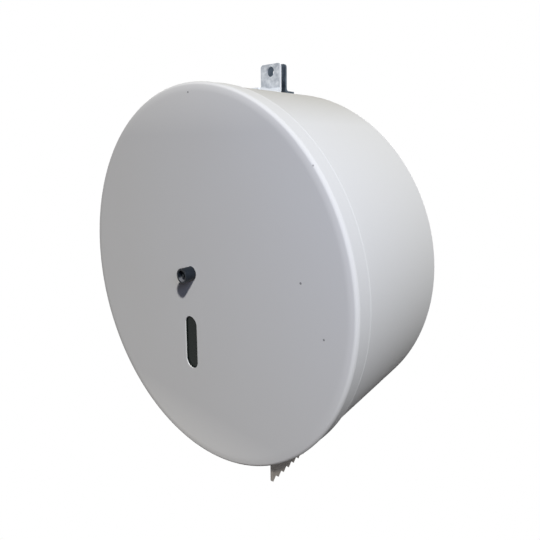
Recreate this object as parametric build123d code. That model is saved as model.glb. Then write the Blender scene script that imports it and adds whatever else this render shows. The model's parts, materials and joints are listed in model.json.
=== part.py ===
from build123d import *
import os
from math import asin, degrees, sqrt

# Wall-mounted dispenser for one jumbo toilet roll: a round steel drum with a side-hinged lid,
# a plastic hub on a fixed axle, a quarter-turn lock in the middle of the lid, two serrated
# tear blades under the drum and a zinc-plated lug on top.
# Sizes are in millimetres. X runs to the right, +Y into the wall and +Z up.
# The origin is the centre of the back plate's wall side, on the drum's axis.

# ---------------------------------------------------------------- driving dimensions
CASE_DEPTH = 124.0  # wall to the lid's face
LID_RADIUS = 152.5
LID_SHEET = 1.0
LID_RIM = 16.0  # lid's face to the rear edge of its rim
LID_EDGE_RADIUS = 5.0
RIM_GAP = 0.5  # radial gap between the lid's rim and the drum

DRUM_SHEET = 1.2
DRUM_SETBACK = 6.0  # lid's face to the drum's folded front edge
HEM_WIDTH = 8.0
BACK_SHEET = 1.2
BACK_RIM = 12.0
BACK_EDGE_RADIUS = 3.0
SEAT_GAP = 0.05  # radial gap of a pressed or welded seat
PLAY = 0.3  # clearance that a moving piece keeps along its axis
OVERCUT = 1.0  # how far a cutter runs past a face

WALL_HOLE_X = 160.0  # spacing of the wall screws
WALL_HOLE_Z = 120.0
WALL_HOLE_RADIUS = 3.25

# Paper outlet and tear blades
OUTLET_HALF_WIDTH = 70.0
OUTLET_LAP = 0.25  # how far the outlet starts under the lid's rim
OUTLET_END_GAP = 0.75  # outlet's end to the blade's end
TOOTH_PITCH = 6.5
TOOTH_DEPTH = 3.2
TOOTH_FLAT = 0.5
TOOTH_LEAD = 2.25  # front end of a blade, cut through a tooth, to its first tip
BLADE_SHEET = 1.0
BLADE_SIDE_GAP = 0.5
BLADE_REAR_ROOM = 2.0  # least room between a blade and the back plate's rim
BLADE_DROP = 7.6  # tips below the lowest line of the drum
BLADE_FLANGE = 17.0  # across the drum, from the blade outwards
BLADE_RIVETS = 3
BLADE_RIVET_INSET = 12.0  # from each end of the blade

# Blind rivets
RIVET_RADIUS = 1.6
RIVET_HOLE_GAP = 0.1
RIVET_HOLE_CUT = 16.0  # length of the cutter for a rivet's hole
RIVET_HEAD_RADIUS = 3.2
RIVET_HEAD_HEIGHT = 1.1
RIVET_TAIL_RADIUS = 2.5
RIVET_TAIL_LENGTH = 2.0
RIVET_TAIL_BULGE = 1.2  # straight part of the tail

# Lug on top
LUG_FROM_WALL = 24.0  # wall to the front ear's face
LUG_WIDTH = 24.0
LUG_SHEET = 2.0
LUG_HEIGHT = 27.0  # above the drum
LUG_EAR_GAP = 6.0
LUG_CORNER_RADIUS = 3.0
LUG_BEND_RADIUS = 2.5
LUG_EYE_RADIUS = 4.75
LUG_EYE_HEIGHT = 19.9
LUG_FRONT_FOOT = 29.0
LUG_REAR_FOOT = 12.0
LUG_RIVET_X = 6.5
LUG_RIVET_INSET = 5.0  # from the foot's free end

# Hinge at the left
HINGE_LENGTH = 32.0
HINGE_SHEET = 1.5
HINGE_PIN_RADIUS = 1.5
HINGE_PIN_GAP = 0.05
HINGE_PIN_HEAD_RADIUS = 2.4
HINGE_PIN_HEAD = 1.0
HINGE_PIN_HEAD_EDGE = 0.6
HINGE_SETBACK = 2.0  # pin behind the lid's rim
HINGE_KNUCKLE_GAP = 0.3
HINGE_MIDDLE_KNUCKLE = 13.0
HINGE_LID_LEAF = 11.0  # pin to the leaf's front edge
HINGE_DRUM_LEAF = 21.0  # pin to the leaf's rear edge
HINGE_STEP_START = 3.0
HINGE_STEP_END = 6.5
HINGE_RIVET_Z = 9.0
HINGE_DRUM_RIVET = 14.0  # pin to the rivets

# Sight slot and its pane
SLOT_WIDTH = 14.6
SLOT_LENGTH = 44.5
SLOT_DROP = 59.7  # below the drum's axis
SLOT_X = -3.0  # a little to the left of it
PANE_SHEET = 1.5
PANE_MARGIN = 5.5
PANE_EAR = 9.0  # beyond the slot, for the stud
PANE_CORNER_RADIUS = 3.0
STUD_RADIUS = 1.5
STUD_LENGTH = 5.0
STUD_FOOT_RADIUS = 2.2
STUD_FOOT = 0.6
STUD_HOLE_GAP = 0.3
PUSH_NUT_RADIUS = 4.5
PUSH_NUT_SHEET = 0.5
PUSH_NUT_DOME = 0.5
PUSH_NUT_DOME_RADIUS = 2.7

# Lock in the middle of the lid
LOCK_HOLE_GAP = 0.1
BUSH_FLANGE_RADIUS = 5.8
BUSH_FLANGE = 0.8
BUSH_RADIUS = 5.0
BUSH_LENGTH = 9.3  # behind the lid's face
SPINDLE_RADIUS = 3.5
SPINDLE_GAP = 0.05
KNOB_BASE_RADIUS = 5.8
KNOB_TIP_RADIUS = 6.1
KNOB_LENGTH = 9.2
KNOB_PLAY = 0.1
KNOB_EDGE = 0.6
KEY_RECESS_RADIUS = 4.5
KEY_RECESS_DEPTH = 4.0
KEY_PIN_RADIUS = 1.2
KEY_PIN_LENGTH = 2.5
LOCK_WASHER_RADIUS = 8.5
LOCK_WASHER_SHEET = 1.0
LOCK_NUT_FLATS = 14.0
LOCK_NUT_LENGTH = 4.0
CLIP_GROOVE_RADIUS = 2.8
CLIP_SHEET = 0.7
CLIP_RADIUS = 5.6
CLIP_MOUTH = 4.8
CAM_LENGTH = 23.0
CAM_WIDTH = 8.0
CAM_CORNER_RADIUS = 2.4
CAM_SHEET = 2.5
CAM_SQUARE = 5.0
CAM_SQUARE_GAP = 0.05
CAM_TO_KEEPER = 1.2
CAM_STUD_RADIUS = 2.0
CAM_STUD_LENGTH = 5.0
CAM_WASHER_RADIUS = 4.0
CAM_WASHER_SHEET = 0.8
CAM_NUT_FLATS = 7.0
CAM_NUT_LENGTH = 3.2
THREAD_GAP = 0.05

# Axle, keeper cap and hub
AXLE_RADIUS = 16.0
AXLE_SHEET = 1.5
FOOT_RADIUS = 40.0
FOOT_SHEET = 2.0
FOOT_COLLAR_RADIUS = 21.0
FOOT_COLLAR_LENGTH = 3.0
FOOT_RIVET_CIRCLE = 31.0
FOOT_RIVETS = 4
KEEPER_SETBACK = 11.0  # lid's face to the cap's face
KEEPER_FLANGE_RADIUS = 20.0
KEEPER_SHEET = 2.0
KEEPER_PLUG_LENGTH = 9.0
KEEPER_PLUG_WALL = 1.7
KEEPER_SLOT_WIDTH = 10.0
KEEPER_SLOT_LENGTH = 25.0
THRUST_WASHER = 1.2
THRUST_WASHER_RADIUS = 20.5
HUB_GAP = 0.06
HUB_RADIUS = 27.0
HUB_WALL = 2.5
HUB_SLEEVE_WALL = 2.5
HUB_WEB = 2.0
HUB_WEBS = 6
HUB_FLANGE_RADIUS = 40.0
HUB_FLANGE = 3.0
HUB_NOSE_TAPER = 4.0
HUB_NOSE_LENGTH = 8.0

# ---------------------------------------------------------------- places that follow
LID_FACE_Y = -CASE_DEPTH
LID_INSIDE_Y = LID_FACE_Y + LID_SHEET
RIM_REAR_Y = LID_FACE_Y + LID_RIM
DRUM_RADIUS = LID_RADIUS - LID_SHEET - RIM_GAP
DRUM_INNER = DRUM_RADIUS - DRUM_SHEET
DRUM_FRONT_Y = LID_FACE_Y + DRUM_SETBACK
BACK_INSIDE_Y = -BACK_SHEET

BLADE_FRONT_Y = RIM_REAR_Y - OUTLET_LAP + OUTLET_END_GAP
FIRST_TIP_Y = BLADE_FRONT_Y + TOOTH_LEAD
BLADE_ROOM = -BACK_RIM - BLADE_REAR_ROOM - FIRST_TIP_Y
TOOTH_COUNT = int(BLADE_ROOM // TOOTH_PITCH)
BLADE_LENGTH = TOOTH_LEAD + TOOTH_PITCH * TOOTH_COUNT
BLADE_REAR_Y = BLADE_FRONT_Y + BLADE_LENGTH
BLADE_OUTER_X = OUTLET_HALF_WIDTH - BLADE_SIDE_GAP
BLADE_INNER_X = BLADE_OUTER_X - BLADE_SHEET
BLADE_RIVET_X = BLADE_OUTER_X + BLADE_FLANGE / 2

LUG_FRONT_Y = -LUG_FROM_WALL
LUG_REAR_EAR_Y = LUG_FRONT_Y + LUG_SHEET + LUG_EAR_GAP + LUG_SHEET
LUG_FRONT_RIVET_Y = LUG_FRONT_Y - LUG_FRONT_FOOT + LUG_RIVET_INSET
LUG_REAR_RIVET_Y = LUG_REAR_EAR_Y + LUG_REAR_FOOT - LUG_RIVET_INSET

KNUCKLE_RADIUS = HINGE_PIN_RADIUS + HINGE_PIN_GAP + HINGE_SHEET
HINGE_X = -(LID_RADIUS + SEAT_GAP + KNUCKLE_RADIUS)
HINGE_Y = RIM_REAR_Y + HINGE_SETBACK

BUSH_END_Y = LID_FACE_Y + BUSH_LENGTH
KNOB_BASE_Y = LID_FACE_Y - BUSH_FLANGE - KNOB_PLAY
KNOB_TIP_Y = KNOB_BASE_Y - KNOB_LENGTH
CLIP_Y = BUSH_END_Y + KNOB_PLAY
KEEPER_FACE_Y = LID_FACE_Y + KEEPER_SETBACK
KEEPER_REAR_Y = KEEPER_FACE_Y + KEEPER_SHEET
CAM_Y = KEEPER_REAR_Y + CAM_TO_KEEPER
CAM_REAR_Y = CAM_Y + CAM_SHEET
CAM_NUT_Y = CAM_REAR_Y + CAM_WASHER_SHEET

FOOT_COLLAR_Y = BACK_INSIDE_Y - FOOT_SHEET - FOOT_COLLAR_LENGTH
HUB_REAR_Y = FOOT_COLLAR_Y - THRUST_WASHER - PLAY
HUB_FRONT_Y = KEEPER_REAR_Y + THRUST_WASHER + PLAY
HUB_BORE = AXLE_RADIUS + HUB_GAP


# ---------------------------------------------------------------- shaping helpers
def turned(*outline):
    """Solid of revolution about the drum's axis, from (radius, y) points."""
    return revolve(make_face(Polyline(*outline, close=True)), axis=Axis.Y)


def rod(radius, y_low, y_high, x=0.0, z=0.0):
    """Round bar along Y."""
    bar = Rot(90, 0, 0) * Cylinder(radius, y_high - y_low)
    return Pos(x, (y_low + y_high) / 2, z) * bar


def ring(outer, inner, y_low, y_high, x=0.0, z=0.0):
    """Round tube along Y."""
    return rod(outer, y_low, y_high, x, z) - rod(inner, y_low, y_high, x, z)


def block(x_low, x_high, y_low, y_high, z_low, z_high):
    """Box between two corners."""
    middle = ((x_low + x_high) / 2, (y_low + y_high) / 2, (z_low + z_high) / 2)
    return Pos(*middle) * Box(x_high - x_low, y_high - y_low, z_high - z_low)


def hexagon(across_flats, hole_radius, y_low, y_high):
    """Hexagon nut along Y."""
    outline = Plane.XZ.offset(-y_high) * RegularPolygon(across_flats / 2, 6, major_radius=False)
    return extrude(outline, y_high - y_low) - rod(hole_radius, y_low, y_high)


def side_plate(outline, x_low, x_high):
    """Plate with an outline of (y, z) points, between two x values."""
    return extrude(Plane.YZ.offset(x_low) * outline, x_high - x_low)


def pressed_tray(radius, sheet, edge_radius, depth):
    """Round tray drawn from sheet: its face at y = 0 and its rim running to y = depth."""
    corner = 1 - sqrt(0.5)
    inside = radius - sheet
    inner_edge = edge_radius - sheet
    outer_mid = (radius - edge_radius * corner, edge_radius * corner)
    inner_mid = (inside - inner_edge * corner, sheet + inner_edge * corner)
    outline = [
        Line((0, 0), (radius - edge_radius, 0)),
        ThreePointArc((radius - edge_radius, 0), outer_mid, (radius, edge_radius)),
        Polyline((radius, edge_radius), (radius, depth), (inside, depth), (inside, edge_radius)),
        ThreePointArc((inside, edge_radius), inner_mid, (radius - edge_radius, sheet)),
        Polyline((radius - edge_radius, sheet), (0, sheet), (0, 0)),
    ]
    return revolve(make_face(Wire(edges_of(outline))), axis=Axis.Y)


def edges_of(lines):
    """Edges of several lines, arcs and polylines, in order."""
    return [edge for line in lines for edge in line.edges()]


def rivet(grip):
    """Blind rivet along Z: domed head above z = 0, shank through the grip, bulged tail below."""
    top = (0, RIVET_HEAD_HEIGHT)
    brim = (RIVET_HEAD_RADIUS, 0)
    dome = TangentArc(top, brim, tangent=(1, 0))
    outline = [dome, Polyline(brim, (RIVET_RADIUS, 0), *rivet_tail(grip), top)]
    return Rot(90, 0, 0) * revolve(make_face(Wire(edges_of(outline))), axis=Axis.Y)


def rivet_tail(grip):
    """Points (radius, z) of a blind rivet's bulged tail, below its grip."""
    return [
        (RIVET_RADIUS, -grip),
        (RIVET_TAIL_RADIUS, -grip),
        (RIVET_TAIL_RADIUS, -grip - RIVET_TAIL_BULGE),
        (RIVET_RADIUS, -grip - RIVET_TAIL_LENGTH),
        (0, -grip - RIVET_TAIL_LENGTH),
    ]


def with_rivet_holes(piece, places):
    """The piece with a rivet's hole through it at each place."""
    cutter = Cylinder(RIVET_RADIUS + RIVET_HOLE_GAP, RIVET_HOLE_CUT)
    for place in places:
        piece -= place * cutter
    return piece


def fall(radius, offset):
    """How far a round wall falls away at an offset from its crown."""
    return radius - sqrt(radius**2 - offset**2)


def placed(piece, places):
    """One copy of the piece at each place, as separate solids."""
    return Compound([place * solid for place in places for solid in piece.solids()])


# ---------------------------------------------------------------- where the rivets go
def blade_rivet_places(side):
    """Along one tear blade, square to the drum's wall; side is 1 at the right, -1 at the left."""
    tilt = degrees(asin(BLADE_RIVET_X / DRUM_RADIUS))
    span = BLADE_LENGTH - 2 * BLADE_RIVET_INSET
    pitch = span / (BLADE_RIVETS - 1)
    first = BLADE_FRONT_Y + BLADE_RIVET_INSET
    return [
        Pos(0, first + pitch * i, 0) * Rot(0, side * (180 - tilt), 0) * Pos(0, 0, DRUM_RADIUS)
        for i in range(BLADE_RIVETS)
    ]


def hinge_rivet_places():
    """Two rivets through the drum's hinge leaf, heads to the left."""
    seat_x = -(DRUM_RADIUS + SEAT_GAP + HINGE_SHEET)
    return [
        Pos(seat_x, HINGE_Y + HINGE_DRUM_RIVET, z) * Rot(0, -90, 0)
        for z in (-HINGE_RIVET_Z, HINGE_RIVET_Z)
    ]


def foot_rivet_places():
    """Round the axle's foot, heads to the front."""
    return [
        Rot(0, 360 * (i + 0.5) / FOOT_RIVETS, 0)
        * Pos(FOOT_RIVET_CIRCLE, BACK_INSIDE_Y - FOOT_SHEET, 0)
        * Rot(90, 0, 0)
        for i in range(FOOT_RIVETS)
    ]


def lug_rivet_places(y):
    """Two rivets side by side through one foot of the lug, heads up."""
    seat_z = DRUM_RADIUS + LUG_SHEET
    return [Pos(x, y, seat_z) for x in (-LUG_RIVET_X, LUG_RIVET_X)]


# ---------------------------------------------------------------- casing
def drum_wall():
    """Rolled ring with its front edge folded inwards, the outlet and the rivet holes."""
    fold = DRUM_SHEET
    nose_y = DRUM_FRONT_Y + fold
    hem_inner = DRUM_INNER - DRUM_SHEET
    hem_rear = DRUM_FRONT_Y + HEM_WIDTH
    outline = [
        ThreePointArc((DRUM_RADIUS, nose_y), (DRUM_INNER, DRUM_FRONT_Y), (hem_inner, nose_y)),
        Polyline(
            (hem_inner, nose_y),
            (hem_inner, hem_rear),
            (DRUM_INNER, hem_rear),
            (DRUM_INNER, 0),
            (DRUM_RADIUS, 0),
            (DRUM_RADIUS, nose_y),
        ),
    ]
    wall = revolve(make_face(Wire(edges_of(outline))), axis=Axis.Y)
    outlet = block(
        -OUTLET_HALF_WIDTH,
        OUTLET_HALF_WIDTH,
        BLADE_FRONT_Y - OUTLET_END_GAP,
        BLADE_REAR_Y + OUTLET_END_GAP,
        -2 * DRUM_RADIUS,
        0,
    )
    places = blade_rivet_places(1) + blade_rivet_places(-1) + hinge_rivet_places()
    places += lug_rivet_places(LUG_FRONT_RIVET_Y) + lug_rivet_places(LUG_REAR_RIVET_Y)
    return with_rivet_holes(wall - outlet, places)


def back_plate():
    """Round tray pressed into the drum's rear end, with the wall-screw and rivet holes."""
    radius = DRUM_INNER - SEAT_GAP
    tray = mirror(pressed_tray(radius, BACK_SHEET, BACK_EDGE_RADIUS, BACK_RIM), about=Plane.XZ)
    for x in (-WALL_HOLE_X / 2, WALL_HOLE_X / 2):
        for z in (-WALL_HOLE_Z / 2, WALL_HOLE_Z / 2):
            tray -= rod(WALL_HOLE_RADIUS, BACK_INSIDE_Y - OVERCUT, OVERCUT, x, z)
    return with_rivet_holes(tray, foot_rivet_places() + lug_rivet_places(LUG_REAR_RIVET_Y))


def tear_blade(side):
    """Serrated strip that hangs at one side of the outlet from a flange inside the drum."""
    flange_outer = DRUM_INNER - SEAT_GAP
    flange_inner = flange_outer - BLADE_SHEET
    band = ring(flange_outer, flange_inner, BLADE_FRONT_Y, BLADE_REAR_Y)
    band &= block(
        BLADE_INNER_X,
        BLADE_OUTER_X + BLADE_FLANGE,
        BLADE_FRONT_Y,
        BLADE_REAR_Y,
        -DRUM_RADIUS,
        0,
    )
    top_z = -sqrt(flange_inner**2 - BLADE_INNER_X**2)
    tip_z = -(DRUM_RADIUS + BLADE_DROP)
    gullet_z = tip_z + TOOTH_DEPTH
    half_flat = TOOTH_FLAT / 2
    flank = TOOTH_PITCH / 2 - half_flat
    front_z = tip_z + TOOTH_DEPTH * min(1, (TOOTH_LEAD - half_flat) / flank)
    points = [(BLADE_FRONT_Y, top_z), (BLADE_FRONT_Y, front_z)]
    points += [(FIRST_TIP_Y - half_flat, tip_z), (FIRST_TIP_Y + half_flat, tip_z)]
    for i in range(TOOTH_COUNT):
        gullet_y = FIRST_TIP_Y + TOOTH_PITCH * (i + 0.5)
        tip_y = FIRST_TIP_Y + TOOTH_PITCH * (i + 1)
        points += [(gullet_y, gullet_z), (tip_y - half_flat, tip_z), (tip_y + half_flat, tip_z)]
    points[-1] = (BLADE_REAR_Y, tip_z)
    points.append((BLADE_REAR_Y, top_z))
    leaf = side_plate(make_face(Polyline(*points, close=True)), BLADE_INNER_X, BLADE_OUTER_X)
    blade = with_rivet_holes(band + leaf, blade_rivet_places(1))
    if side < 0:
        blade = mirror(blade, about=Plane.YZ)
    return blade


def blade_rivets():
    """Three rivets for each tear blade."""
    grip = DRUM_SHEET + BLADE_SHEET + 2 * SEAT_GAP
    places = blade_rivet_places(1) + blade_rivet_places(-1)
    return placed(rivet(grip + SEAT_GAP), [place * Pos(0, 0, SEAT_GAP) for place in places])


def lug_ear(ear_y, foot_length, foot_side):
    """Angle bent from strip: an upright ear with its eye, and a foot that runs from it along Y.
    foot_side is -1 where the foot runs to the front and 1 where it runs to the rear."""
    free_y = ear_y + foot_side * foot_length
    back_y = ear_y - foot_side * LUG_SHEET
    base_z = DRUM_RADIUS
    top_z = base_z + LUG_HEIGHT
    outline = FilletPolyline(
        (free_y, base_z),
        (back_y, base_z),
        (back_y, top_z),
        (ear_y, top_z),
        (ear_y, base_z + LUG_SHEET),
        (free_y, base_z + LUG_SHEET),
        radius=[0, LUG_BEND_RADIUS + LUG_SHEET, 0, 0, LUG_BEND_RADIUS, 0],
        close=True,
    )
    ear = side_plate(make_face(outline), -LUG_WIDTH / 2, LUG_WIDTH / 2)
    corners = ear.edges().filter_by(Axis.Y).group_by(Axis.Z)[-1]
    ear = fillet(corners, LUG_CORNER_RADIUS)
    low_y = min(ear_y, back_y) - LUG_SHEET
    high_y = max(ear_y, back_y) + LUG_SHEET
    ear -= rod(LUG_EYE_RADIUS, low_y, high_y, 0, base_z + LUG_EYE_HEIGHT)
    places = lug_rivet_places(free_y - foot_side * LUG_RIVET_INSET)
    for place in places:
        ear -= place * lug_countersink()
    return with_rivet_holes(ear, places)


def lug_countersink():
    """Cone that a lug rivet's head fills, flush with the foot."""
    depth = RIVET_HEAD_RADIUS - RIVET_RADIUS
    cone = Cone(RIVET_RADIUS + RIVET_HOLE_GAP, RIVET_HEAD_RADIUS + RIVET_HOLE_GAP, depth)
    return Pos(0, 0, -depth / 2) * cone


def lug_rivet(wall_inner):
    """Flush rivet along Z from a foot's top to its tail inside a wall of the given inner radius."""
    fall_inside = fall(wall_inner, LUG_RIVET_X + RIVET_TAIL_RADIUS)
    grip = LUG_SHEET + DRUM_RADIUS - wall_inner + fall_inside + SEAT_GAP
    head_depth = RIVET_HEAD_RADIUS - RIVET_RADIUS
    outline = Polyline(
        (0, 0),
        (RIVET_HEAD_RADIUS, 0),
        (RIVET_RADIUS, -head_depth),
        *rivet_tail(grip),
        close=True,
    )
    return Rot(90, 0, 0) * revolve(make_face(outline), axis=Axis.Y)


def lug_rivets():
    """Flush rivets that hold the two angles; the rear two also go through the back plate's rim."""
    front = placed(lug_rivet(DRUM_INNER), lug_rivet_places(LUG_FRONT_RIVET_Y))
    rear = placed(lug_rivet(DRUM_INNER - SEAT_GAP - BACK_SHEET), lug_rivet_places(LUG_REAR_RIVET_Y))
    return Compound(front.solids() + rear.solids())


# ---------------------------------------------------------------- hinge
def knuckle(z_low, z_high):
    """Rolled eye of a hinge leaf, round the pin's axis."""
    height = z_high - z_low
    roll = Cylinder(KNUCKLE_RADIUS, height) - Cylinder(HINGE_PIN_RADIUS + HINGE_PIN_GAP, height)
    return Pos(HINGE_X, HINGE_Y, (z_low + z_high) / 2) * roll


def leaf_plate(outline, z_low, z_high):
    """Leaf with an outline of (x, y) points from the pin's axis, between two heights."""
    face = make_face(Polyline(*outline, close=True))
    return Pos(HINGE_X, HINGE_Y, z_low) * extrude(face, z_high - z_low)


def hinge_leaf_lid():
    """Leaf welded on the lid's rim, with the middle knuckle."""
    seat = KNUCKLE_RADIUS
    inner = seat - HINGE_SHEET
    clear = KNUCKLE_RADIUS + HINGE_KNUCKLE_GAP
    half = HINGE_LENGTH / 2
    middle = HINGE_MIDDLE_KNUCKLE / 2
    plate = [(inner, -HINGE_LID_LEAF), (seat, -HINGE_LID_LEAF), (seat, -clear), (inner, -clear)]
    neck = [(inner, -clear), (seat, -clear), (seat, 0), (inner, 0)]
    leaf = leaf_plate(plate, -half, half) + leaf_plate(neck, -middle, middle)
    leaf += knuckle(-middle, middle)
    leaf -= Pos(HINGE_X, HINGE_Y, 0) * Cylinder(HINGE_PIN_RADIUS + HINGE_PIN_GAP, HINGE_LENGTH)
    return leaf


def hinge_leaf_drum():
    """Leaf riveted on the drum, stepped in behind the lid's rim, with the two outer knuckles."""
    near = KNUCKLE_RADIUS
    step = LID_RADIUS - DRUM_RADIUS
    start = HINGE_STEP_START
    end = HINGE_STEP_END
    clear = KNUCKLE_RADIUS + HINGE_KNUCKLE_GAP
    half = HINGE_LENGTH / 2
    middle = HINGE_MIDDLE_KNUCKLE / 2 + HINGE_KNUCKLE_GAP
    inner = near - HINGE_SHEET
    plate = [
        (inner, 0),
        (near, 0),
        (near, start),
        (near + step, end),
        (near + step, HINGE_DRUM_LEAF),
        (inner + step, HINGE_DRUM_LEAF),
        (inner + step, end),
        (inner, start),
    ]
    leaf = leaf_plate(plate, -half, half)
    far = clear + step
    notch = [(0, -OVERCUT), (far, -OVERCUT), (far, clear), (0, clear)]
    leaf -= leaf_plate(notch, -middle, middle)
    leaf += knuckle(-half, -middle) + knuckle(middle, half)
    leaf -= Pos(HINGE_X, HINGE_Y, 0) * Cylinder(HINGE_PIN_RADIUS + HINGE_PIN_GAP, HINGE_LENGTH)
    return with_rivet_holes(leaf, hinge_rivet_places())


def hinge_pin():
    """Pin with a formed head at each end."""
    half = HINGE_LENGTH / 2 + HINGE_PIN_GAP
    pin = Cylinder(HINGE_PIN_RADIUS, 2 * half)
    head = Cylinder(HINGE_PIN_HEAD_RADIUS, HINGE_PIN_HEAD)
    head = fillet(head.edges().group_by(Axis.Z)[-1], HINGE_PIN_HEAD_EDGE)
    top = Pos(0, 0, half + HINGE_PIN_HEAD / 2) * head
    bottom = mirror(top, about=Plane.XY)
    return Pos(HINGE_X, HINGE_Y, 0) * (pin + top + bottom)


def hinge_rivets():
    """Two rivets with their heads on the drum's leaf and their tails inside the drum."""
    fall_inside = fall(DRUM_INNER, HINGE_RIVET_Z + RIVET_TAIL_RADIUS)
    grip = HINGE_SHEET + SEAT_GAP + DRUM_SHEET + fall_inside + SEAT_GAP
    return placed(rivet(grip), hinge_rivet_places())


# ---------------------------------------------------------------- lid
def lid_shell():
    """Drawn lid with its rim, the lock's hole and the sight slot."""
    shell = Pos(0, LID_FACE_Y, 0) * pressed_tray(LID_RADIUS, LID_SHEET, LID_EDGE_RADIUS, LID_RIM)
    shell -= rod(BUSH_RADIUS + LOCK_HOLE_GAP, LID_FACE_Y - OVERCUT, LID_INSIDE_Y + OVERCUT)
    slot = Plane.XZ.offset(-LID_INSIDE_Y - OVERCUT) * Pos(SLOT_X, -SLOT_DROP) * Rot(0, 0, 90)
    return shell - extrude(slot * SlotOverall(SLOT_LENGTH, SLOT_WIDTH), LID_SHEET + 2 * OVERCUT)


def stud_heights():
    """Heights of the two studs, above and below the sight slot."""
    reach = SLOT_LENGTH / 2 + PANE_EAR / 2
    return [-SLOT_DROP + reach, -SLOT_DROP - reach]


def window_pane():
    """Smoked strip that lies behind the sight slot, on two studs."""
    width = SLOT_WIDTH + 2 * PANE_MARGIN
    height = SLOT_LENGTH + 2 * PANE_EAR
    front_y = LID_INSIDE_Y + STUD_FOOT
    rear_y = front_y + PANE_SHEET
    outline = RectangleRounded(width, height, PANE_CORNER_RADIUS)
    pane = extrude(Plane.XZ.offset(-rear_y) * Pos(SLOT_X, -SLOT_DROP) * outline, PANE_SHEET)
    for z in stud_heights():
        pane -= rod(STUD_RADIUS + STUD_HOLE_GAP, front_y, rear_y, SLOT_X, z)
    return pane


def pane_studs():
    """Two studs welded inside the lid."""
    foot_y = LID_INSIDE_Y + STUD_FOOT
    stud = rod(STUD_FOOT_RADIUS, LID_INSIDE_Y, foot_y) + rod(STUD_RADIUS, foot_y, LID_INSIDE_Y + STUD_LENGTH)
    return placed(stud, [Pos(SLOT_X, 0, z) for z in stud_heights()])


def pane_push_nuts():
    """Two domed push-on nuts that hold the pane on its studs."""
    seat_y = LID_INSIDE_Y + STUD_FOOT + PANE_SHEET
    bore = STUD_RADIUS + SEAT_GAP
    nut = turned(
        (bore, seat_y + PUSH_NUT_DOME),
        (PUSH_NUT_DOME_RADIUS, seat_y),
        (PUSH_NUT_RADIUS, seat_y),
        (PUSH_NUT_RADIUS, seat_y + PUSH_NUT_SHEET),
        (PUSH_NUT_DOME_RADIUS, seat_y + PUSH_NUT_SHEET),
        (bore, seat_y + PUSH_NUT_SHEET + PUSH_NUT_DOME),
    )
    return placed(nut, [Pos(SLOT_X, 0, z) for z in stud_heights()])


# ---------------------------------------------------------------- lock
def lock_bush():
    """Flanged sleeve through the lid that the spindle turns in."""
    flange_y = LID_FACE_Y - BUSH_FLANGE
    bush = rod(BUSH_FLANGE_RADIUS, flange_y, LID_FACE_Y) + rod(BUSH_RADIUS, LID_FACE_Y, BUSH_END_Y)
    return bush - rod(SPINDLE_RADIUS + SPINDLE_GAP, flange_y, BUSH_END_Y)


def lock_washer():
    """Washer under the lock's nut."""
    inner = BUSH_RADIUS + LOCK_HOLE_GAP
    return ring(LOCK_WASHER_RADIUS, inner, LID_INSIDE_Y, LID_INSIDE_Y + LOCK_WASHER_SHEET)


def lock_nut():
    """Nut that clamps the bush in the lid."""
    low_y = LID_INSIDE_Y + LOCK_WASHER_SHEET
    return hexagon(LOCK_NUT_FLATS, BUSH_RADIUS + THREAD_GAP, low_y, low_y + LOCK_NUT_LENGTH)


def knob():
    """Slightly flared head with a rounded tip edge and a key recess round a pin."""
    head = turned(
        (0, KNOB_BASE_Y),
        (KNOB_BASE_RADIUS, KNOB_BASE_Y),
        (KNOB_TIP_RADIUS, KNOB_TIP_Y),
        (0, KNOB_TIP_Y),
    )
    head = fillet(head.edges().group_by(Axis.Y)[0], KNOB_EDGE)
    floor_y = KNOB_TIP_Y + KEY_RECESS_DEPTH
    head -= rod(KEY_RECESS_RADIUS, KNOB_TIP_Y, floor_y)
    return head + rod(KEY_PIN_RADIUS, floor_y - KEY_PIN_LENGTH, floor_y)


def lock_spindle():
    """Knob, round shaft with its clip groove, square for the cam and threaded end."""
    spindle = knob() + rod(SPINDLE_RADIUS, KNOB_BASE_Y, CAM_Y)
    spindle -= ring(2 * SPINDLE_RADIUS, CLIP_GROOVE_RADIUS, CLIP_Y, CLIP_Y + CLIP_SHEET)
    half = CAM_SQUARE / 2
    spindle += block(-half, half, CAM_Y, CAM_REAR_Y, -half, half)
    return spindle + rod(CAM_STUD_RADIUS, CAM_REAR_Y, CAM_REAR_Y + CAM_STUD_LENGTH)


def spindle_clip():
    """Open clip in the spindle's groove, behind the bush."""
    clip = ring(CLIP_RADIUS, CLIP_GROOVE_RADIUS + SEAT_GAP, CLIP_Y, CLIP_Y + CLIP_SHEET)
    half = CLIP_MOUTH / 2
    return clip - block(-half, half, CLIP_Y, CLIP_Y + CLIP_SHEET, -CLIP_RADIUS, 0)


def lock_cam():
    """Cross bar with rounded ends and a square hole, upright when the lock is open."""
    outline = RectangleRounded(CAM_WIDTH, CAM_LENGTH, CAM_CORNER_RADIUS)
    bar = extrude(Plane.XZ.offset(-CAM_REAR_Y) * outline, CAM_SHEET)
    half = CAM_SQUARE / 2 + CAM_SQUARE_GAP
    return bar - block(-half, half, CAM_Y, CAM_REAR_Y, -half, half)


def cam_washer():
    """Washer between the cam and its nut."""
    return ring(CAM_WASHER_RADIUS, CAM_STUD_RADIUS + THREAD_GAP, CAM_REAR_Y, CAM_NUT_Y)


def cam_nut():
    """Nut that holds the cam."""
    return hexagon(CAM_NUT_FLATS, CAM_STUD_RADIUS + THREAD_GAP, CAM_NUT_Y, CAM_NUT_Y + CAM_NUT_LENGTH)


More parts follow.
